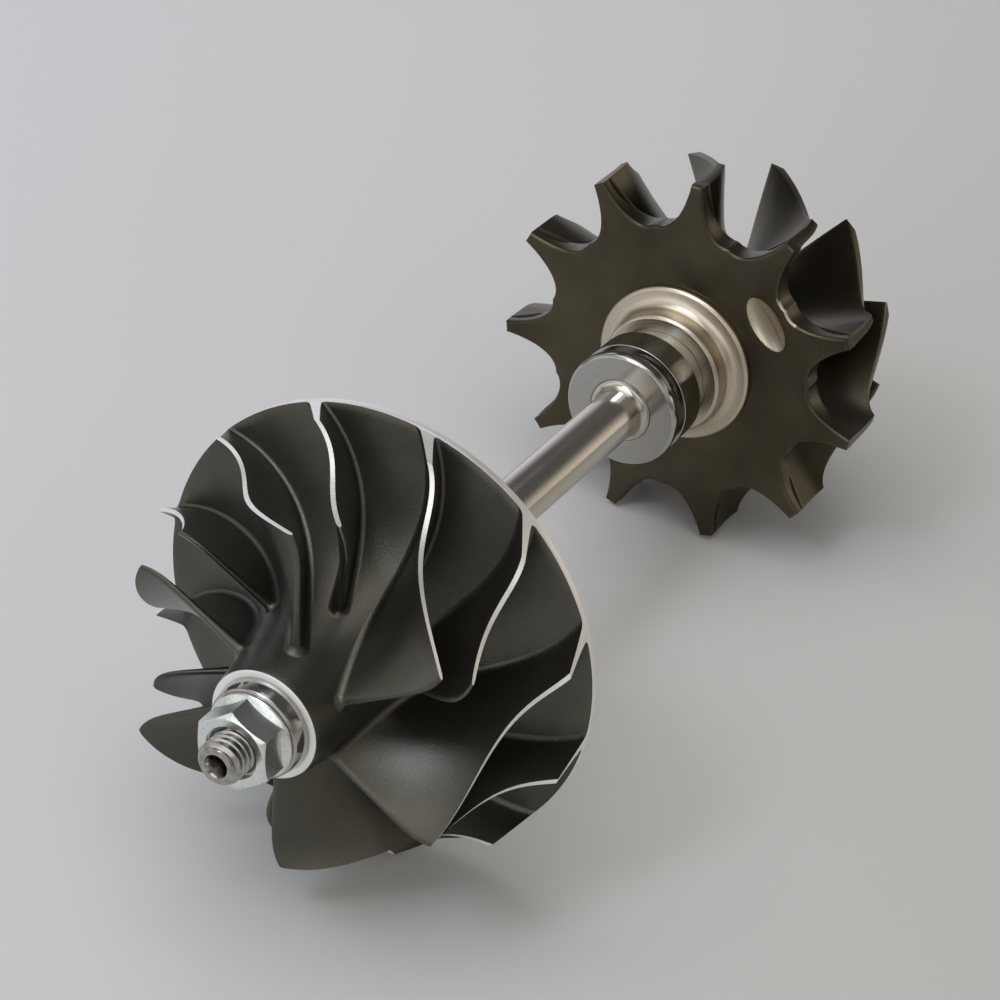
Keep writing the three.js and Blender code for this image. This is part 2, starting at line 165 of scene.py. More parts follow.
def hollowFillet(fromX, fromRadius, toX, toRadius, count=8):
    points = []
    for i in range(1, count + 1):
        turn = math.radians(90 * i / count)
        points.append((fromX + (toX - fromX) * math.sin(turn),
                       fromRadius + (toRadius - fromRadius) * (1 - math.cos(turn))))
    return points


# A grid primitive whose points then go to their places round the shaft, row by row
def gridRoundShaft(name, x, radius, angle):
    points = np.stack([x, radius * np.cos(angle), radius * np.sin(angle)], axis=2)
    rowCount, columnCount = x.shape
    deselectAll()
    bpy.ops.mesh.primitive_grid_add(x_subdivisions=columnCount - 1, y_subdivisions=rowCount - 1)
    piece = bpy.context.active_object
    nameWithMesh(piece, name)
    piece.data.vertices.foreach_set("co", mm(points).reshape(-1))
    return piece


# Colours and material nodes
def hexColour(text):
    parts = [int(text[i:i + 2], 16) / 255 for i in (1, 3, 5)]
    return [p / 12.92 if p <= 0.04045 else ((p + 0.055) / 1.055) ** 2.4 for p in parts] + [1]


def addNode(material, kind, settings=None, inputs=None):
    tree = material.node_tree
    node = tree.nodes.new("ShaderNode" + kind)
    for key, value in (settings or {}).items():
        setattr(node, key, value)
    for key, value in (inputs or {}).items():
        socket = node.inputs[key]
        if isinstance(value, bpy.types.NodeSocket):
            tree.links.new(value, socket)
        else:
            socket.default_value = value
    return node


def link(material, fromSocket, toSocket):
    material.node_tree.links.new(fromSocket, toSocket)


def newMaterial(name, metallic):
    material = bpy.data.materials.new(name)
    material.use_nodes = True
    shader = material.node_tree.nodes["Principled BSDF"]
    shader.inputs["Metallic"].default_value = metallic
    return material, shader


def benchCoordinates(material):
    # Object coordinates turned back, so that X runs along the shaft again.
    coordinates = addNode(material, "TexCoord")
    return addNode(material, "Mapping", {"vector_type": "TEXTURE"}, {
        "Vector": coordinates.outputs["Object"],
        "Location": benchPlace,
        "Rotation": (0, benchSlope, 0),
    }).outputs["Vector"]


def lathePosition(material, vector, travelShare=0.83):
    # One number that changes along the cut: distance from the shaft plus travel along it.
    split = addNode(material, "SeparateXYZ", inputs={"Vector": vector})
    flat = addNode(material, "CombineXYZ", inputs={
        "Y": split.outputs["Y"], "Z": split.outputs["Z"]})
    radius = addNode(material, "VectorMath", {"operation": "LENGTH"}, {0: flat.outputs["Vector"]})
    return addNode(material, "Math", {"operation": "MULTIPLY_ADD"}, {
        0: split.outputs["X"], 1: travelShare, 2: radius.outputs["Value"]}).outputs["Value"]


def noiseOf(material, widthMm, vector, detail=2.0, roughness=0.5):
    # Its features are about widthMm wide.
    return addNode(material, "TexNoise", inputs={
        "Vector": vector, "Scale": 1000 / widthMm, "Detail": detail, "Roughness": roughness,
    }).outputs["Fac"]


def ringsOf(material, widthMm, vector, detail=2.0):
    # The rings that a tool or a grinding wheel leaves, about widthMm wide
    return addNode(material, "TexNoise", {"noise_dimensions": "1D"}, {
        "W": lathePosition(material, vector), "Scale": 1000 / widthMm, "Detail": detail,
    }).outputs["Fac"]


def colourBetween(material, factor, stops):
    ramp = addNode(material, "ValToRGB", inputs={"Fac": factor})
    band = ramp.color_ramp
    while len(band.elements) < len(stops):
        band.elements.new(0.5)
    for element, (place, colour) in zip(band.elements, stops):
        element.position = place
        element.color = hexColour(colour)
    return ramp.outputs["Color"]


def numberBetween(material, factor, low, high):
    # Noise seldom leaves 0.3 to 0.7.
    return addNode(material, "MapRange", inputs={
        "Value": factor, "From Min": 0.3, "From Max": 0.7, "To Min": low, "To Max": high,
    }).outputs["Result"]


def finishMetal(material, shader, look, colourBy, roughnessBy, bumpBy):
    # Three patterns, one each for the colour, the roughness and the bump
    strength, depth = look["bump"]
    bump = addNode(material, "Bump", inputs={
        "Height": bumpBy, "Strength": strength, "Distance": mm(depth)})
    link(material, colourBetween(material, colourBy, look["stops"]), shader.inputs["Base Color"])
    link(material, numberBetween(material, roughnessBy, *look["roughness"]),
         shader.inputs["Roughness"])
    link(material, bump.outputs["Normal"], shader.inputs["Normal"])
    return material


# Each look below has its colours at their places between dark and light, its range of roughness,
# and its bump as strength and depth in mm. Grit, grain, spangle and rings are drawn coarser than
# the real ones, which are under 0.1 mm and wouldn't show.

# Cast aluminium, blasted and darkened: a dull grey-brown skin with a fine sparkle of grit
castingLook = {"stops": ((0.3, "#4d4a43"), (0.5, "#58554d"), (0.7, "#635f56")), "metallic": 0.85,
               "roughness": (0.26, 0.35), "bump": (0.6, 0.05),
               "gritMm": 0.14, "gritShare": 0.4, "patchMm": 7.0, "patchShare": 0.6}


def blastedAluminium():
    look = castingLook
    material, shader = newMaterial("blastedCastAluminium", look["metallic"])
    vector = benchCoordinates(material)
    patches = noiseOf(material, look["patchMm"], vector, detail=4.0)
    grit = noiseOf(material, look["gritMm"], vector, roughness=0.7)
    gritPart = addNode(material, "Math", {"operation": "MULTIPLY"}, {0: grit, 1: look["gritShare"]})
    blend = addNode(material, "Math", {"operation": "MULTIPLY_ADD"}, {
        0: patches, 1: look["patchShare"], 2: gritPart.outputs["Value"]})
    return finishMetal(material, shader, look, blend.outputs["Value"], grit, grit)


# Aluminium turned after casting: satin bright, with fine rings from the tool. The tips that the
# blades got from it are duller than the wide back of the wheel.
turnedStops = ((0.3, "#e9e6e0"), (0.55, "#f5f3ef"), (0.75, "#fbfaf7"))
tipsLook = {"stops": turnedStops, "metallic": 0.7, "roughness": (0.38, 0.48),
            "bump": (0.08, 0.012), "ringMm": 0.12, "cloudMm": 2.5}
backLook = {"stops": turnedStops, "metallic": 1.0, "roughness": (0.26, 0.36),
            "bump": (0.08, 0.03), "ringMm": 0.3, "cloudMm": 2.5}


def turnedAluminium(name, look):
    material, shader = newMaterial(name, look["metallic"])
    vector = benchCoordinates(material)
    rings = ringsOf(material, look["ringMm"], vector)
    cloud = noiseOf(material, look["cloudMm"], vector, detail=3.0)
    return finishMetal(material, shader, look, rings, cloud, rings)


# Zinc plated steel: pale bluish white, softly bright, with a faint spangle
zincLook = {"stops": ((0.3, "#d3d9d5"), (0.5, "#e0e5e2"), (0.7, "#ebeeec")), "metallic": 1.0,
            "roughness": (0.20, 0.26), "bump": (0.07, 0.01), "spangleMm": 0.25}


def zincPlate():
    look = zincLook
    material, shader = newMaterial("zincPlatedSteel", look["metallic"])
    spangle = noiseOf(material, look["spangleMm"], benchCoordinates(material))
    return finishMetal(material, shader, look, spangle, spangle, spangle)


# Ground steel: mirror bright, with faint rings left by the wheel. The seal hub and the collar are
# polished finer and look greyer than the shaft.
groundLook = {"stops": ((0.35, "#c4bfb5"), (0.6, "#c9c4ba")), "metallic": 1.0,
              "roughness": (0.15, 0.21), "bump": (0.02, 0.004), "ringMm": 0.25, "smearMm": 5.0}
polishedLook = {"stops": ((0.35, "#aca9a5"), (0.6, "#bab8b4")), "metallic": 1.0,
                "roughness": (0.11, 0.17), "bump": (0.02, 0.004), "ringMm": 0.12, "smearMm": 5.0}


def groundSteel(name, look):
    material, shader = newMaterial(name, look["metallic"])
    vector = benchCoordinates(material)
    rings = ringsOf(material, look["ringMm"], vector, detail=3.0)
    smear = noiseOf(material, look["smearMm"], vector)
    return finishMetal(material, shader, look, rings, smear, rings)


# Steel thread, rolled and lightly oiled: brown-grey flanks with bright crests
threadLook = {"stops": ((0.3, "#96938d"), (0.5, "#a8a59f"), (0.7, "#b9b6b0")), "metallic": 1.0,
              "roughness": (0.13, 0.22), "bump": (0.08, 0.02), "stainMm": 0.8}


def threadSteel():
    look = threadLook
    material, shader = newMaterial("rolledThreadSteel", look["metallic"])
    stain = noiseOf(material, look["stainMm"], benchCoordinates(material), detail=3.0)
    return finishMetal(material, shader, look, stain, stain, stain)


# Investment cast nickel alloy: dark olive-brown oxide, fairly even, with a dull sheen
nickelCastLook = {"stops": ((0.3, "#453f32"), (0.5, "#4f493b"), (0.7, "#5a5345")), "metallic": 0.9,
                  "roughness": (0.25, 0.35), "bump": (0.2, 0.03), "patchMm": 9.0, "grainMm": 0.35}


def castNickel():
    look = nickelCastLook
    material, shader = newMaterial("castNickelAlloy", look["metallic"])
    vector = benchCoordinates(material)
    patches = noiseOf(material, look["patchMm"], vector, detail=3.0)
    grain = noiseOf(material, look["grainMm"], vector, roughness=0.6)
    return finishMetal(material, shader, look, patches, patches, grain)


# Turned nickel alloy at the weld: warm cream-grey with soft turning rings
nickelTurnedLook = {"stops": ((0.3, "#c2b8a5"), (0.55, "#c9bfad"), (0.75, "#d2c9b8")),
                    "metallic": 1.0, "roughness": (0.26, 0.34), "bump": (0.04, 0.01), "ringMm": 0.4}


def turnedNickel():
    look = nickelTurnedLook
    material, shader = newMaterial("turnedNickelAlloy", look["metallic"])
    rings = ringsOf(material, look["ringMm"], benchCoordinates(material))
    return finishMetal(material, shader, look, rings, rings, rings)


castAluminium = blastedAluminium()
brightAluminium = turnedAluminium("turnedAluminiumTips", tipsLook)
discAluminium = turnedAluminium("turnedAluminiumBack", backLook)
zincSteel = zincPlate()
shaftSteel = groundSteel("groundShaftSteel", groundLook)
polishedSteel = groundSteel("polishedSteel", polishedLook)
studSteel = threadSteel()
nickelCasting = castNickel()
nickelTurned = turnedNickel()
print("materials made")


def paintFaces(piece, material, isPainted):
    # The second finish goes where the test on a face's centre (mm), radius and normal says. It
    # is measured round the shaft's own axis, so this comes before dress.
    piece.data.materials.append(material)
    slot = len(piece.data.materials) - 1
    for face in piece.data.polygons:
        centre = face.center * 1000
        if isPainted(centre, math.hypot(centre.y, centre.z), face.normal):
            face.material_index = slot


# The last step for a piece: it is laid on the bench and stands for its CAD nodes.
def dress(piece, material, slot, *nodes):
    layOnBench(piece)
    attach(piece, "root")
    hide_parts(*nodes)
    if not piece.data.materials:
        piece.data.materials.append(material)


# The wheels' meridional lines are cubics through four handles of x and radius.
def alongCubic(handles, u):
    v = 1 - u
    weights = (v ** 3, 3 * v * v * u, 3 * v * u * u, u ** 3)
    return [sum(w * h[k] for w, h in zip(weights, handles)) for k in (0, 1)]


# A blade is a grid wrapped round its middle surface like a bag: up one face from the root
# fillet, over the tip and down the other, closed at the leading and trailing edges.
bladeGrid = {
    "lineSteps": 260,  # points that the middle surface is measured with
    "filletSteps": 8, "noseSteps": 8,
    "aheadSteps": 39, "ahead": 0.1,  # share of its length drawn on in front of a round nose
    "alongCrowding": 1.15, "upCrowding": 1.35,  # above 1 they gather points at the front and tip
    "sunk": 0.4, "dip": 0.015,  # mm that the root and the fillet's foot lie under the hub's skin
    # this near a blunt end, the faces are set off straight round the shaft, so the end lies flush
    "easeLength": 3.5, "leastSlope": 0.2,
}


# One row of points along a blade. Share is its height from root to tip, extra(a) is what the root
# fillet adds to half the thickness, and side is 1 or -1 for the faces and 0 for the middle.
def bladeRow(share, extra, side, middle, thickness, start, noseLength, alongCount):
    g = bladeGrid
    begin = start(share)
    line = begin + (1 - begin) * np.linspace(0, 1, len(share))
    zero = 0
    front, taper = np.zeros(1), np.ones(1)
    if noseLength > 0:
        zero = g["aheadSteps"]
        ahead = np.linspace(-g["ahead"], 0, zero + 1)[:-1]
        line = np.concatenate([begin[0] + ahead, line])
        share = np.concatenate([np.full(zero, share[0]), share])
        noseTurns = np.radians(np.linspace(0, 90, g["noseSteps"]))
        front = (noseLength + extra(0)) * (1 - np.cos(noseTurns)) - extra(0)
        taper = np.sin(noseTurns)
    x, radius, angle = middle(line, share)
    # steps in the plane through the shaft, round the shaft, and on the blade
    stepM = np.hypot(np.diff(x), np.diff(radius))
    stepC = (radius[1:] + radius[:-1]) / 2 * np.diff(angle)
    stepL = np.hypot(stepM, stepC)
    plane = np.concatenate([[0], np.cumsum(stepM)])
    length = np.concatenate([[0], np.cumsum(stepL)])
    plane -= plane[zero]
    length -= length[zero]
    total = length[-1]
    # stations are places along the row: round the nose first, and on to the trailing edge
    onward = np.linspace(0, 1, alongCount)[1:] ** g["alongCrowding"]
    stations = np.concatenate([front, front[-1] + (total - front[-1]) * onward])
    a = np.clip(stations / total, 0, 1)
    half = thickness(a, np.interp(stations, length, share)) / 2 + extra(a)
    half[:len(taper)] *= taper
    between = (length[1:] + length[:-1]) / 2
    slopeM = np.interp(stations, between, stepM / stepL)
    slopeC = np.interp(stations, between, stepC / stepL)
    ease = np.clip((total - stations) / g["easeLength"], 0, 1)
    if noseLength == 0:
        ease = np.minimum(ease, np.clip(stations / g["easeLength"], 0, 1))
    ease = ease * ease * (3 - 2 * ease)
    slid = np.interp(stations, length, plane) - side * ease * half * slopeC
    around = half * slopeM + (1 - ease) * half * slopeC ** 2 / np.maximum(slopeM, g["leastSlope"])
    slidRadius = np.interp(slid, plane, radius)
    return (np.interp(slid, plane, x), slidRadius,
            np.interp(stations, length, angle) + side * around / slidRadius)


# start(w) is the share of the middle surface where the blade starts at share w of its height.
def wrapBlade(name, middle, thickness, fillet, start, noseLength, alongCount, upCount):
    g = bladeGrid
    u = np.linspace(0, 1, g["lineSteps"])
    foot = start(0 * u)
    line = foot + (1 - foot) * u
    footX, footR, _ = middle(line, 0 * u)
    tipX, tipR, _ = middle(line, 0 * u + 1)
    reach = np.hypot(tipX - footX, tipR - footR)
    # each level: its share of the height, and what the fillet adds to half the thickness there
    levels = [(-g["sunk"] / reach, fillet)]
    for turn in np.radians(np.linspace(0, 90, g["filletSteps"] + 1)):
        levels.append(((fillet(u) * (1 - math.cos(turn)) - g["dip"]) / reach,
                       lambda a, t=turn: fillet(a) * (1 - math.sin(t))))
    for step in range(1, upCount + 1):
        rise = 1 - (1 - step / upCount) ** g["upCrowding"]
        levels.append((rise + (1 - rise) * fillet(u) / reach, lambda a: 0 * a))

    def row(level, side):
        return bladeRow(*level, side, middle, thickness, start, noseLength, alongCount)
    rows = [row(levels[0], 0)] + [row(level, 1) for level in levels] + [row(levels[-1], 0)]
    rows += [row(level, -1) for level in reversed(levels)] + [row(levels[0], 0)]
    table = np.array(rows)
    # the faces meet half way at the trailing edge, and in front too where there is no round nose
    halfWay = (table + table[::-1]) / 2
    columns = [table, halfWay[:, :, -1:]]
    if noseLength == 0:
        columns.insert(0, halfWay[:, :, :1])
    x, radius, angle = np.moveaxis(np.concatenate(columns, axis=2), 1, 0)
    piece = gridRoundShaft(name, x, radius, angle)
    tidySkin(piece)
    return piece


# For a blade that starts at the front of its middle surface
def fromFront(w):
    return 0 * w


def spreadBlades(model, node, count, phase, material, slot):
    for k in range(count):
        blade = copyPiece(model, f"{model.name}{k + 1}")
        turnAboutShaft(blade, phase + k * 360 / count)
        dress(blade, material, slot, f"{node}{k + 1}")
    bpy.data.objects.remove(model)


# Compressor wheel. Its rim and its blades' trailing edges are turned bright outside brightRadius.
compressorWheel = {
    "hubLine": ((0, 6.9), (11.26, 8.0), (15.79, 13.0), (17.7, 25.76)),
    "shroudLine": ((0, 20.5), (2.43, 20.5), (12.4, 19.3), (13.55, 25.72)),
    "noseRing": (-4.12, 6.25), "rimBack": 18.6, "rimRadius": 25.76, "brightRadius": 25.6,
}
compressorHub = {
    "bore": 2.45, "ringChamfer": 0.12, "ringFlare": (0.9, 0.14),
    "backSlope": ((1.0, 15.5), (2.6, 9.2), (3.6, 7.6)),  # mm behind the rim's back, and radius
    "bossX": 23.4, "shoulderBore": 2.99, "shoulderDepth": 0.6, "edge": 0.12,
    "lineSteps": 40,
}


def makeCompressorHub():
    h = compressorHub
    ringX, ringR = compressorWheel["noseRing"]
    back, rimR = compressorWheel["rimBack"], compressorWheel["rimRadius"]
    brightR = compressorWheel["brightRadius"]
    flareX, flareR = h["ringFlare"]
    shoulderX = h["bossX"] - h["shoulderDepth"]
    outline = [(ringX, h["bore"]), (ringX, ringR - h["ringChamfer"]),
               (ringX + h["ringChamfer"], ringR), (ringX + flareX, ringR + flareR)]
    for u in np.linspace(0, 1, h["lineSteps"] + 1):
        outline.append(tuple(alongCubic(compressorWheel["hubLine"], u)))
    outline += [(back, rimR)] + [(back + x, radius) for x, radius in h["backSlope"]]
    outline += [(h["bossX"], h["backSlope"][-1][1]), (h["bossX"], h["shoulderBore"]),
                (shoulderX, h["shoulderBore"]), (shoulderX, h["bore"]), (ringX, h["bore"])]
    hub = turnOutline("compressorHub", outline, sides=192)
    roundEdges(hub, h["edge"], segments=2, angle=30)
    tidySkin(hub)
    smoothShade(hub)
    hub.data.materials.append(castAluminium)
    # the rim and the nose ring's front, and then the disc's back
    paintFaces(hub, brightAluminium, lambda c, r, n: (
        (r > brightR and math.hypot(n.y, n.z) > 0.6) or (c.x < ringX + 0.05 and r < ringR + 0.05)))
    paintFaces(hub, discAluminium, lambda c, r, n: c.x > back + 0.02 and r < rimR - 0.06)
    return hub


compressorBlade = {
    "pairs": 6, "phase": 29.17,  # a splitter stands half way between each two full blades
    # wrap round the shaft: degrees in front, degrees gained along the blade, and its curve
    "shroudWrap": (0, -43.25, (-0.601, -0.252, 0.7405)),
    "hubWrap": (5.3, -55, (-1.761, 2.49, -0.503)),
    # degrees that the front is carried round the shaft, how fast that fades along the blade, and
    # how close under the tip it ends
    "bow": 3.3, "bowFade": 4, "cornerPower": 8,
    "fullRoot": 1.5, "splitterRoot": 1.3, "tip": 0.5,  # thicknesses
    "rootFillet": (0.75, 0.45),  # in front and at the back
    "splitterStart": (0.23, 0.33),  # shares of the length, at the root and at the tip
    "noseLength": 0.75, "alongCount": 58, "upCount": 14,
}


def wrapAngle(wrap, u):
    front, gain, (a, b, c) = wrap
    return math.radians(front) + math.radians(gain) * u + u * (1 - u) * (a + b * u + c * u * u)


def compressorMiddle(u, w):
    b = compressorBlade
    hubX, hubR = alongCubic(compressorWheel["hubLine"], u)
    shroudX, shroudR = alongCubic(compressorWheel["shroudLine"], u)
    # in front of the blade's root the hub runs on as a plain cone to the nose ring, and the back
    # end of the root stays just inside the rim
    ringX, ringR = compressorWheel["noseRing"]
    frontR = compressorWheel["hubLine"][0][1]
    hubR = np.where(u < 0, frontR + hubX * (frontR - ringR) / -ringX, hubR)
    hubR = np.minimum(hubR, compressorWheel["rimRadius"] - 0.02)
    hubTurn, shroudTurn = wrapAngle(b["hubWrap"], u), wrapAngle(b["shroudWrap"], u)
    hubY, hubZ = hubR * np.cos(hubTurn), hubR * np.sin(hubTurn)
    y = hubY + (shroudR * np.cos(shroudTurn) - hubY) * w
    z = hubZ + (shroudR * np.sin(shroudTurn) - hubZ) * w
    bow = math.radians(b["bow"]) * (1 - np.clip(w, 0, 1) ** b["cornerPower"])
    angle = np.unwrap(np.arctan2(z, y)) + bow * (1 - u) ** b["bowFade"]
    return hubX + (shroudX - hubX) * w, np.hypot(y, z), angle


def splitterStart(w):
    root, tip = compressorBlade["splitterStart"]
    return root + (tip - root) * np.clip(w, 0, 1) ** compressorBlade["cornerPower"]


def makeCompressorBlades(name, node, root, start, offset):
    b = compressorBlade
    filletFront, filletBack = b["rootFillet"]

    def thickness(a, w):
        return root + (b["tip"] - root) * np.sqrt(np.clip(w, 0, 1))

    def fillet(a):
        return filletFront + (filletBack - filletFront) * a
    model = wrapBlade(name, compressorMiddle, thickness, fillet, start, b["noseLength"],
                      b["alongCount"], b["upCount"])
    model.data.materials.append(castAluminium)
    paintTurnedTips(model)
    smoothShade(model, angle=40)
    spreadBlades(model, node, b["pairs"], b["phase"] + offset, castAluminium, "cast_aluminium")


def paintTurnedTips(blade):
    # The tips lie on the shroud line and the trailing edges on the rim's cylinder.
    line = np.stack(alongCubic(compressorWheel["shroudLine"], np.linspace(0, 1, 201)), axis=1)
    tipGap, facing = 0.06, 0.8  # how near the line a tip's faces lie, and how square they face out

    def isTurned(centre, radius, normal):
        outward = Vector((0, centre.y, centre.z)).normalized()
        if radius > compressorWheel["brightRadius"] and normal.dot(outward) > facing:
            return True
        gaps = np.hypot(line[:, 0] - centre.x, line[:, 1] - radius)
        nearest = int(np.clip(np.argmin(gaps), 1, len(line) - 2))
        along = line[nearest + 1] - line[nearest - 1]
        along = along / np.hypot(*along)
        upward = outward * along[0] - Vector((along[1], 0, 0))
        return np.min(gaps) < tipGap and normal.dot(upward) > facing
    paintFaces(blade, brightAluminium, isTurned)


dress(makeCompressorHub(), castAluminium, "cast_aluminium", "compressor_hub")
makeCompressorBlades("fullBlade", "compressor_blade_", compressorBlade["fullRoot"], fromFront, 0)
makeCompressorBlades("splitterBlade", "splitter_blade_", compressorBlade["splitterRoot"],
                     splitterStart, 180 / compressorBlade["pairs"])
print("compressor wheel made")

# Polished collar between the nose ring and the nut
noseCollar = {
    "frontX": -6.15, "frontRadius": 4.98, "chamfer": 0.16, "backRadius": 5.44, "bore": 2.45,
    "edge": 0.05,
    "groove": (0.12, 0.16),  # width and depth of the dark gap in front of the nose ring
}


def makeNoseCollar():
    c = noseCollar
    back = compressorWheel["noseRing"][0] - seatGap
    front, chamfer = c["frontX"], c["chamfer"]
    grooveWidth, grooveDepth = c["groove"]
    grooveRadius = c["backRadius"] - grooveDepth
    collar = turnOutline("noseCollar", [
        (front, c["bore"]), (front, c["frontRadius"]),
        (front + chamfer, c["frontRadius"] + chamfer),
        (back - grooveWidth, c["backRadius"]), (back - grooveWidth, grooveRadius),
        (back, grooveRadius), (back, c["bore"]), (front, c["bore"])])
    roundEdges(collar, c["edge"])
    smoothShade(collar, keepFlats=True)
    return collar


# Lock nut with its flange. A cone cuts back the front corners, and the bore's mouth is countersunk.
lockNut = {
    "flats": 8.0, "corner": 25, "frontX": -10.05, "chamfer": 0.45, "chamferIn": 0.15,
    "flangeRadius": 4.87, "flangeThickness": 0.36, "flangeRise": 0.64, "brim": (0.06, 0.1, 0.05),
    "mouthRadius": 3.0, "threadRoom": 0.05, "edge": 0.07,
}
toolPast = 0.05  # how far a cutting tool goes past a corner
stud = {
    "threadRadius": 2.5, "threadRoot": 2.03, "pitch": 0.8, "turns": 9,
    "ridge": (0.10, 0.42, 0.54, 0.86),  # shares of the pitch: foot, crest, crest, foot
    "endX": -12.75, "endRadius": 1.95, "lead": 0.6, "intoNut": 1.6,
    # centre hole: its mouth, then depth and radius of its narrow part, whole depth, drill's point
    "holeRadius": 1.35, "holeWaist": (0.75, 0.95), "holeDepth": 5.0, "drillPoint": 0.5,
}


def makeLockNut():
    n = lockNut
    back, front = noseCollar["frontX"] - seatGap, n["frontX"]
    cornerRadius = n["flats"] / math.sqrt(3)
    deselectAll()
    bpy.ops.mesh.primitive_cylinder_add(vertices=6, radius=mm(cornerRadius), depth=mm(back - front),
                                        location=(mm((back + front) / 2), 0, 0),
                                        rotation=(0, math.pi / 2, 0))
    nut = bpy.context.active_object
    nameWithMesh(nut, "lockNut")
    applyPlace(nut)
    turnAboutShaft(nut, n["corner"])
    coneRadius = n["flats"] / 2 - n["chamferIn"]
    cutWith(nut, turnOutline("chamferTool", [
        (front, coneRadius), (front + n["chamfer"], cornerRadius + toolPast),
        (back + 1, cornerRadius + toolPast)], sides=128), "INTERSECT")
    flangeX, flangeR = back - n["flangeThickness"], n["flangeRadius"]
    brimX, brimFront, brimBack = n["brim"]
    cutWith(nut, turnOutline("flangeTool", [
        (flangeX - n["flangeRise"], coneRadius - 0.02), (flangeX - brimX, flangeR - brimFront),
        (flangeX + brimX, flangeR), (back - brimBack, flangeR), (back, flangeR - brimBack)],
        sides=128), "UNION")
    sink = n["mouthRadius"] - stud["threadRadius"]
    boreRadius = stud["threadRadius"] + n["threadRoom"]
    cutWith(nut, turnOutline("boreTool", [
        (front - sink, n["mouthRadius"] + sink), (front + sink, boreRadius),
        (back + 1, boreRadius)], sides=128), "DIFFERENCE")
    tidySkin(nut)
    roundEdges(nut, n["edge"], segments=2, angle=16)
    smoothShade(nut, angle=30, keepFlats=True)
    return nut


def extrudeRidge():
    # The thread's profile over one pitch, as a line of edges: root, flank, crest, flank, root
    s = stud
    foot, crest, crestEnd, footEnd = s["ridge"]
    root, top = s["threadRoot"], s["threadRadius"]
    deselectAll()
    bpy.ops.mesh.primitive_plane_add(size=mm(0.01))
    ridge = bpy.context.active_object
    nameWithMesh(ridge, "threadedStud")
    bpy.ops.object.mode_set(mode="EDIT")
    bpy.ops.mesh.select_all(action="SELECT")
    bpy.ops.mesh.merge(type="CENTER")
    bpy.ops.transform.translate(value=(mm(s["endX"] - 2 * s["pitch"]), mm(root), 0))
    place, radius = 0, root
    for nextPlace, nextRadius in ((foot, root), (crest, top), (crestEnd, top),
                                  (footEnd, root), (1, root)):
        bpy.ops.mesh.extrude_region_move(TRANSFORM_OT_translate={
            "value": (mm((nextPlace - place) * s["pitch"]), mm(nextRadius - radius), 0)})
        place, radius = nextPlace, nextRadius
    bpy.ops.object.mode_set(mode="OBJECT")
    applyPlace(ridge)
    return ridge


def makeStud():
    s = stud
    end, inner = s["endX"], lockNut["frontX"] + s["intoNut"]
    leadRadius = s["threadRadius"] + toolPast
    thread = extrudeRidge()
    applyModifier(thread, "SCREW", axis="X", angle=2 * math.pi, screw_offset=mm(s["pitch"]),
                  iterations=s["turns"], steps=72, render_steps=72, use_merge_vertices=True,
                  merge_threshold=mm(0.002))
    tidySkin(thread)
    for cutX, normal in ((end, (-1, 0, 0)), (inner, (1, 0, 0))):
        bpy.ops.object.mode_set(mode="EDIT")
        bpy.ops.mesh.select_all(action="SELECT")
        bpy.ops.mesh.bisect(plane_co=(mm(cutX), 0, 0), plane_no=normal, use_fill=True,
                            clear_outer=True, threshold=mm(0.0005))
        bpy.ops.object.mode_set(mode="OBJECT")
    tidySkin(thread)
    # the lead-in cone at the end, and then the centre hole, with tools that start outside the end
    past = 0.2
    cutWith(thread, turnOutline("leadTool", [
        (end - past, s["endRadius"] - past), (end + s["lead"], leadRadius),
        (inner + 0.4, leadRadius)], sides=96), "INTERSECT")
    waistDepth, waistRadius = s["holeWaist"]
    bottom = end + s["holeDepth"]
    cutWith(thread, turnOutline("holeTool", [
        (end - past, s["holeRadius"] + 0.09), (end, s["holeRadius"]),
        (end + waistDepth, waistRadius), (bottom, waistRadius),
        (bottom + s["drillPoint"], 0.02)], sides=64), "DIFFERENCE")
    tidySkin(thread)
    smoothShade(thread, angle=30)
    return thread


dress(makeNoseCollar(), polishedSteel, "polished_steel", "nose_collar")
dress(makeLockNut(), zincSteel, "zinc_nut", "lock_nut")
dress(makeStud(), studSteel, "shaft_steel", "shaft")
print("collar, nut and stud made")

# Shaft, seal hub and weld boss
shaft = {
    "stubRadius": 2.4, "intoNut": 1.55, "shoulderX": 22.85, "radius": 2.94, "edge": 0.08,
    "footRadius": 3.84, "footLength": 1.2, "intoSealHub": 0.45,
}
sealHub = {
    "faceX": 72.05, "recess": 0.5, "radius": 7.05, "chamfer": 0.3, "edge": 0.09,
    "groove": (73.4, 75.0, 5.8),  # its two walls and the radius of its floor
    "endX": 79.1, "neckRadius": 5.7,
}
weldBoss = {
    "faceX": 82.2, "overNeck": 0.5, "radius": 7.6, "chamfer": 0.3, "edge": 0.1,
    "flare": 1.4, "footX": 85.3, "footRadius": 9.9,
}


def makeShaft():
    s, face = shaft, sealHub["faceX"]
    outline = [(lockNut["frontX"] + s["intoNut"], s["stubRadius"]),
               (s["shoulderX"], s["stubRadius"]), (s["shoulderX"], s["radius"])]
    outline += hollowFillet(face - s["footLength"], s["radius"], face, s["footRadius"])
    outline.append((face + s["intoSealHub"], s["footRadius"]))
    piece = turnOutline("shaftJournal", outline)
    roundEdges(piece, s["edge"], segments=2)
    smoothShade(piece)
    return piece


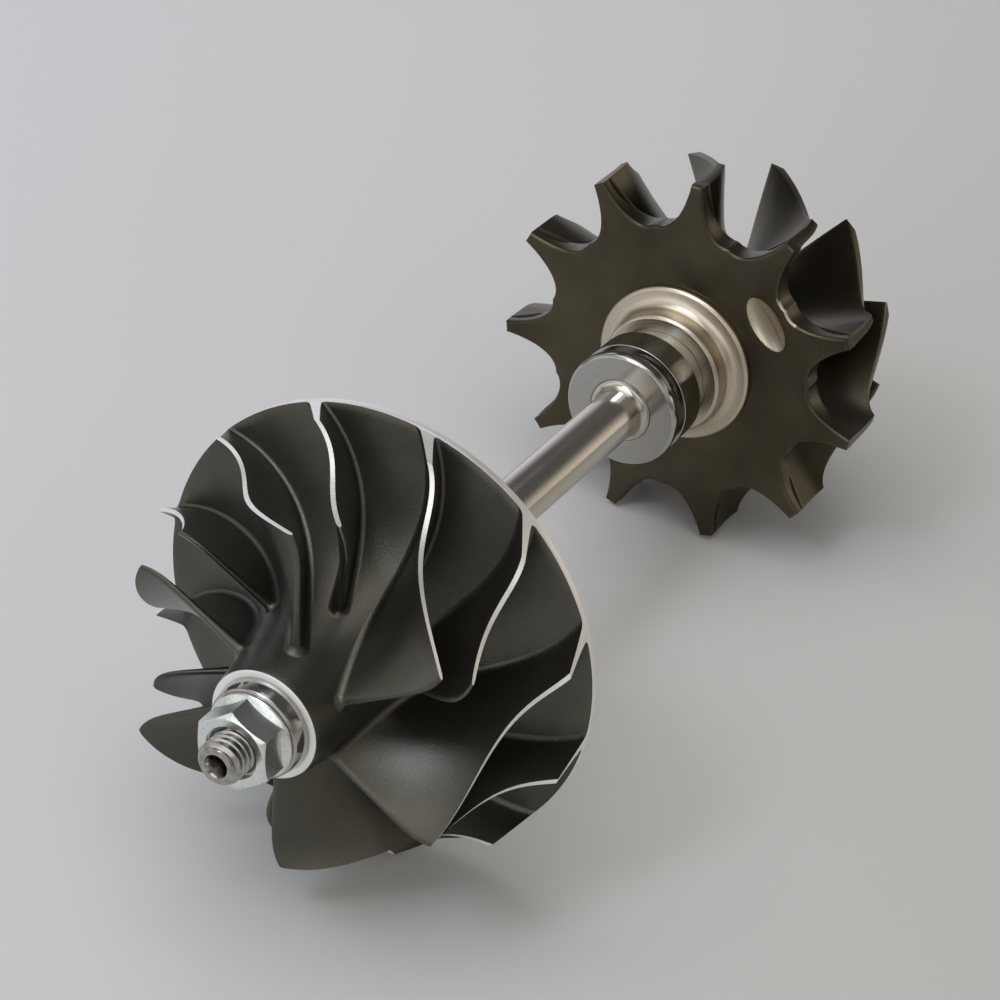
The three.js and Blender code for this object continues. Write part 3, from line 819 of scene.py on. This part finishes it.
def makeSealHub():
    s = sealHub
    face, end, radius, chamfer = s["faceX"], s["endX"], s["radius"], s["chamfer"]
    holeRadius = shaft["footRadius"] + seatGap
    grooveFrom, grooveTo, grooveRadius = s["groove"]
    piece = turnOutline("sealHub", [
        (face + s["recess"], holeRadius), (face, holeRadius), (face, radius - chamfer),
        (face + chamfer, radius), (grooveFrom, radius), (grooveFrom, grooveRadius),
        (grooveTo, grooveRadius), (grooveTo, radius), (end - chamfer, radius),
        (end, radius - chamfer), (end, s["neckRadius"]),
        (weldBoss["faceX"] - seatGap, s["neckRadius"])])
    roundEdges(piece, s["edge"])
    smoothShade(piece, keepFlats=True)
    return piece


def makeWeldBoss():
    w = weldBoss
    face, radius, chamfer = w["faceX"], w["radius"], w["chamfer"]
    footX, footRadius = w["footX"], w["footRadius"]
    outline = [(face, sealHub["neckRadius"] - w["overNeck"]), (face, radius - chamfer),
               (face + chamfer, radius)]
    outline += hollowFillet(footX - w["flare"], radius, footX, footRadius - chamfer)
    outline += [(footX + chamfer, footRadius), (turbineDisc["faceX"] - seatGap, footRadius)]
    piece = turnOutline("weldBoss", outline)
    roundEdges(piece, w["edge"])
    smoothShade(piece, keepFlats=True)
    return piece


# Turbine wheel
turbineWheel = {
    "hubLine": ((88.0, 23.37), (88.9, 12.6), (94.0, 7.4), (103.6, 6.9)),
    "shroudLine": ((93.4, 23.37), (94.2, 21.4), (98.0, 20.15), (103.6, 20.03)),
    "blades": 11, "phase": 24.55, "radius": 23.37,
}
turbineDisc = {
    "faceX": 86.2, "innerRadius": 8.6, "edgeRadius": 0.35, "armTip": 1.5, "scallopRadius": 17.4,
    # two handles of the scallop's curve: share of the pitch, and mm outside scallopRadius
    "scallopSide": (0.12, 1.6), "scallopFloor": (0.3, -0.6),
    "sideSteps": 17, "faceRows": 12, "backRows": 24,
    "faceFan": 1.5, "backFan": 2.2,  # how soon the grid's lines leave their even spacing or find it
}
balanceSpot = {  # the shallow hollow where metal was ground off to balance the rotor
    "radius": 14.0, "angle": 141.0, "length": 3.6, "width": 1.9, "round": 1.6, "depth": 0.55,
}


def armOutline():
    # One arm of the scalloped disc from floor to floor, as points across the shaft
    d, radius = turbineDisc, turbineWheel["radius"]
    pitch = 2 * math.pi / turbineWheel["blades"]
    half = d["armTip"] / 2 / radius

    def across(outTo, angle):
        return outTo * math.cos(angle), outTo * math.sin(angle)
    handles = [across(radius, half)]
    for share, rise in (d["scallopSide"], d["scallopFloor"], (0.5, 0)):
        handles.append(across(d["scallopRadius"] + rise, share * pitch))
    count = d["sideSteps"]
    side = np.array([alongCubic(handles, i / count) for i in range(count + 1)])
    crown = [across(radius, half * k) for k in (-0.5, 0, 0.5)]
    return np.concatenate([side[::-1] * (1, -1), crown, side])


def polar(points):
    return np.hypot(points[:, 0], points[:, 1]), np.arctan2(points[:, 1], points[:, 0])


# One arm is shaped on a grid, from the weld boss out over its rounded edge and back along the
# hub line, and spun round once for each blade.
def makeTurbineDisc():
    t, d = turbineWheel, turbineDisc
    face, innerRadius, edge = d["faceX"], d["innerRadius"], d["edgeRadius"]
    outer = armOutline()
    inward = np.gradient(outer, axis=0)[:, ::-1] * (-1, 1)
    inward /= np.hypot(inward[:, 0], inward[:, 1])[:, None]
    # the ends lie in the middle of a scallop's floor, where inward is straight to the shaft
    for end in (0, -1):
        inward[end] = -outer[end] / np.hypot(*outer[end])
    edgeR, edgeAngle = polar(outer + inward * edge)
    count = len(outer)
    even = np.linspace(-0.5, 0.5, count) * 2 * math.pi / t["blades"]
    lineU = np.linspace(0, 1, 400)
    lineX, lineR = alongCubic(t["hubLine"], lineU)
    backX = np.interp(-edgeR, -lineR, lineX)
    backU = np.interp(-edgeR, -lineR, lineU)
    rows = []
    for share in np.linspace(0, 1, d["faceRows"]):
        rows.append((np.full(count, face), innerRadius + (edgeR - innerRadius) * share,
                     even + (edgeAngle - even) * share ** d["faceFan"]))
    quarter = np.radians([22.5, 45, 67.5, 90])
    for turn in quarter:
        rows.append((np.full(count, face + edge * (1 - math.cos(turn))),
                     *polar(outer + inward * edge * (1 - math.sin(turn)))))
    for turn in (*quarter[::-1], 0):
        rows.append((backX - edge * (1 - math.cos(turn)),
                     *polar(outer + inward * edge * (1 - math.sin(turn)))))
    for share in np.linspace(0, 1, d["backRows"] + 1)[1:]:
        x, radius = alongCubic(t["hubLine"], backU + (1 - backU) * share)
        rows.append((x, radius, edgeAngle + (even - edgeAngle) * min(1, share * d["backFan"])))
    disc = gridRoundShaft("turbineDisc", *np.moveaxis(np.array(rows), 1, 0))
    bpy.ops.object.mode_set(mode="EDIT")
    bpy.ops.mesh.select_all(action="SELECT")
    bpy.ops.mesh.spin(steps=t["blades"], dupli=True, angle=2 * math.pi, center=(0, 0, 0),
                      axis=(1, 0, 0), use_auto_merge=False)
    tidySkin(disc, mergeAt=0.003)
    bpy.ops.object.mode_set(mode="EDIT")
    fillOpenEnds()
    tidySkin(disc)
    turnAboutShaft(disc, t["phase"])
    grindBalanceSpot(disc)
    smoothShade(disc, angle=40)
    return disc


def grindBalanceSpot(disc):
    b, face = balanceSpot, turbineDisc["faceX"]
    turn = math.radians(b["angle"])
    place = Vector((face - b["round"] + b["depth"],
                    b["radius"] * math.cos(turn), b["radius"] * math.sin(turn)))
    deselectAll()
    bpy.ops.mesh.primitive_uv_sphere_add(segments=64, ring_count=32, radius=mm(1),
                                         location=mm(place))
    grinder = bpy.context.active_object
    # only the cap of this flattened ball cuts, so the ball is wider than the hollow
    grow = 1 / math.sqrt(1 - (1 - b["depth"] / b["round"]) ** 2)
    grinder.scale = (b["round"], b["width"] * grow, b["length"] * grow)
    grinder.rotation_euler = (turn, 0, 0)
    applyPlace(grinder)
    disc.data.materials.append(nickelCasting)
    cutWith(disc, grinder, "DIFFERENCE")
    # the grinding left bare metal
    paintFaces(disc, nickelTurned, lambda c, r, n: (
        math.hypot(c.y - place.y, c.z - place.z) < b["length"] + 0.2
        and face + 0.002 < c.x < face + b["depth"] + 0.05 and n.x < -0.2))


turbineBlade = {
    "sweep": -25.6, "sweepFrom": 90.9,  # degrees that the outlet end curls, and where that starts
    "rootThickness": (1.5, 2.0), "tip": 1.0, "tipEdge": 0.15,
    # radius of the root fillet: at the wheel's rim, growth for each mm inside it, and at most
    "rootFillet": (0.05, 0.21, 1.2),
    "alongCount": 44, "upCount": 12,
}


def turbineMiddle(u, w):
    hubX, hubR = alongCubic(turbineWheel["hubLine"], u)
    shroudX, shroudR = alongCubic(turbineWheel["shroudLine"], u)
    x = hubX + (shroudX - hubX) * w
    sweepFrom, outletX = turbineBlade["sweepFrom"], turbineWheel["hubLine"][-1][0]
    share = np.maximum(0, (x - sweepFrom) / (outletX - sweepFrom))
    return x, hubR + (shroudR - hubR) * w, math.radians(turbineBlade["sweep"]) * share * share


def makeTurbineBlades():
    t, b = turbineWheel, turbineBlade
    rootFront, rootBack = b["rootThickness"]
    least, growth, most = b["rootFillet"]

    def thickness(a, w):
        root = rootFront + (rootBack - rootFront) * a
        return root + (b["tip"] - root) * np.clip(w, 0, 1)

    def fillet(a):
        return np.minimum(most, least + growth * (t["radius"] - alongCubic(t["hubLine"], a)[1]))
    model = wrapBlade("turbineBlade", turbineMiddle, thickness, fillet, fromFront, 0,
                      b["alongCount"], b["upCount"])
    roundEdges(model, b["tipEdge"], segments=2, angle=50)
    tidySkin(model)
    model.data.materials.append(nickelCasting)
    smoothShade(model, angle=40)
    spreadBlades(model, "turbine_blade_", t["blades"], t["phase"], nickelCasting, "cast_nickel")


turbineNose = {"fromX": 103.65, "radius": 6.2, "flatRadius": 2.8, "edge": 0.1}


def makeTurbineNose():
    n = turbineNose
    outline = []
    for turn in np.radians(np.linspace(0, 90, 13)):
        outline.append((n["fromX"] + (noseEndX - n["fromX"]) * math.sin(turn),
                        n["flatRadius"] + (n["radius"] - n["flatRadius"]) * math.cos(turn)))
    nose = turnOutline("turbineNose", outline)
    roundEdges(nose, n["edge"], segments=2, angle=40)
    smoothShade(nose)
    return nose


dress(makeShaft(), shaftSteel, "shaft_steel", "shaft")
dress(makeSealHub(), polishedSteel, "polished_steel", "seal_hub")
dress(makeWeldBoss(), nickelTurned, "turned_nickel", "weld_boss")
print("shaft and hubs made")
dress(makeTurbineDisc(), nickelCasting, "cast_nickel", "turbine_hub")
makeTurbineBlades()
dress(makeTurbineNose(), nickelCasting, "cast_nickel", "turbine_nose")
print("turbine wheel made")

# Floor, light and camera. Azimuths run from +X towards +Y.
# The paper carries painted light and shade: a darker, warmer grey at the right and a lighter
# lavender at the far left. Turn is the azimuth of that way, and span is where the change starts and
# ends along it, in metres.
paperWithPaintedLight = {"size": 6, "roughness": 0.75, "turn": 98, "span": (-0.12, 0.22),
             "stops": ((0.0, "#c4c1b8"), (0.45, "#dbdbd9"), (1.0, "#ebe8f0"))}
roomLook = {"colour": "#f2f0ec", "glow": 0.13}
# Soft-edged bright areas of the room: name, azimuth, elevation, half width and half height
# (degrees), soft share of the radius, glow, colour
roomPatches = [
    ("roomFront", 158, 46, 80, 58, 0.6, 0.41, "#fbfbfa"),
    ("backWall", 38, -5, 46, 50, 0.62, 0.95, "#efecff"),
    ("warmRight", -39, 2, 38, 36, 1.0, 1.2, "#fff1e2"),
    ("frontLeft", 180, 15, 40, 32, 0.6, 1.0, "#fcfcff"),
    ("left", 130, 8, 45, 36, 0.7, 0.5, "#fbfbf8"),
    ("rightFront", -104, 26, 42, 36, 1.0, 0.65, "#fff4e6"),
]
# Name, azimuth, elevation, distance (m), size (m), glow, colour. Glow is the brightness that a
# mirror would show. The cards face cardAim, at about the rotor's middle.
cardAim = Vector((0, 0, 0.02))
lightCards = [
    ("keySoftbox", 160, 54, 0.75, (0.15, 0.15), 11.0, "#d4e3ff"),
    ("topSoftbox", 145, 80, 0.9, (0.85, 0.85), 1.38, "#fbfbfa"),
    ("highBackCard", 10, 66, 1.4, (0.4, 0.4), 0.4, "#dcdcff"),
]
photoCamera = {  # in mm and degrees
    "place": (-293.591, -152.020, 251.475), "turn": (55.4683, -3.1808, -60.0895),
    "lens": 129.726, "sensor": 36, "nearest": 10,
}


def makeFloor():
    p = paperWithPaintedLight
    deselectAll()
    bpy.ops.mesh.primitive_plane_add(size=p["size"])
    floor = bpy.context.active_object
    floor.name = "floor"
    material, shader = newMaterial("matteBackdropPaper", 0)
    shader.inputs["Roughness"].default_value = p["roughness"]
    coordinates = addNode(material, "TexCoord")
    across = addNode(material, "Mapping", {"vector_type": "TEXTURE"}, {
        "Vector": coordinates.outputs["Object"], "Rotation": (0, 0, math.radians(p["turn"]))})
    split = addNode(material, "SeparateXYZ", inputs={"Vector": across.outputs["Vector"]})
    share = addNode(material, "MapRange", inputs={
        "Value": split.outputs["X"], "From Min": p["span"][0], "From Max": p["span"][1]})
    # the colour ramp is painted light and shade: lighter lavender at the far left, darker warm grey
    # at the right
    link(material, colourBetween(material, share.outputs["Result"], p["stops"]),
         shader.inputs["Base Color"])
    floor.data.materials.append(material)


def addCard(name, azimuth, elevation, distance, size, glow, colour):
    turn, rise = math.radians(azimuth), math.radians(elevation)
    level = distance * math.cos(rise)
    place = Vector((level * math.cos(turn), level * math.sin(turn), distance * math.sin(rise)))
    deselectAll()
    bpy.ops.object.light_add(type="AREA", location=place)
    light = bpy.context.active_object
    light.name = name
    light.data.shape = "RECTANGLE"
    light.data.size, light.data.size_y = size
    light.data.energy = glow * math.pi * size[0] * size[1]
    light.data.color = hexColour(colour)[:3]
    light.rotation_euler = (cardAim - place).to_track_quat("-Z", "Y").to_euler()


def patchReach(degrees):
    # Scale that puts a patch's edge at this angle from its middle
    turn = math.radians(degrees)
    return math.sin(turn) / math.sqrt(1 - (1 - math.cos(turn)) ** 2)


def makeRoom():
    room = bpy.data.worlds.new("studioRoom")
    room.use_nodes = True
    background = room.node_tree.nodes["Background"]
    background.inputs["Color"].default_value = hexColour(roomLook["colour"])
    background.inputs["Strength"].default_value = roomLook["glow"]
    direction = addNode(room, "TexCoord").outputs["Generated"]
    total = background.outputs["Background"]
    for name, azimuth, elevation, width, height, soft, glow, colour in roomPatches:
        local = addNode(room, "Mapping", {"vector_type": "TEXTURE", "label": name}, {
            "Vector": direction, "Rotation": (0, -math.radians(elevation), math.radians(azimuth)),
            "Scale": (1, patchReach(width), patchReach(height))})
        away = addNode(room, "VectorMath", {"operation": "DISTANCE"}, {
            0: local.outputs["Vector"], 1: (1, 0, 0)})
        fade = addNode(room, "MapRange", {"interpolation_type": "SMOOTHSTEP"}, {
            "Value": away.outputs["Value"], "From Min": 1.0, "From Max": 1 - soft,
            "To Min": 0, "To Max": glow})
        patch = addNode(room, "Background", inputs={
            "Color": hexColour(colour), "Strength": fade.outputs["Result"]})
        total = addNode(room, "AddShader", inputs={
            0: total, 1: patch.outputs["Background"]}).outputs["Shader"]
    link(room, total, room.node_tree.nodes["World Output"].inputs["Surface"])
    bpy.context.scene.world = room


def makeCamera():
    p = photoCamera
    bpy.ops.object.camera_add(location=[mm(v) for v in p["place"]],
                              rotation=[math.radians(v) for v in p["turn"]])
    camera = bpy.context.active_object
    camera.name = "photoCamera"
    camera.data.sensor_width = p["sensor"]
    camera.data.lens = p["lens"]
    camera.data.clip_start = mm(p["nearest"])
    bpy.context.scene.camera = camera


makeFloor()
for card in lightCards:
    addCard(*card)
makeRoom()
makeCamera()
bpy.context.scene.view_settings.view_transform = "Standard"
print("floor, light and camera made")
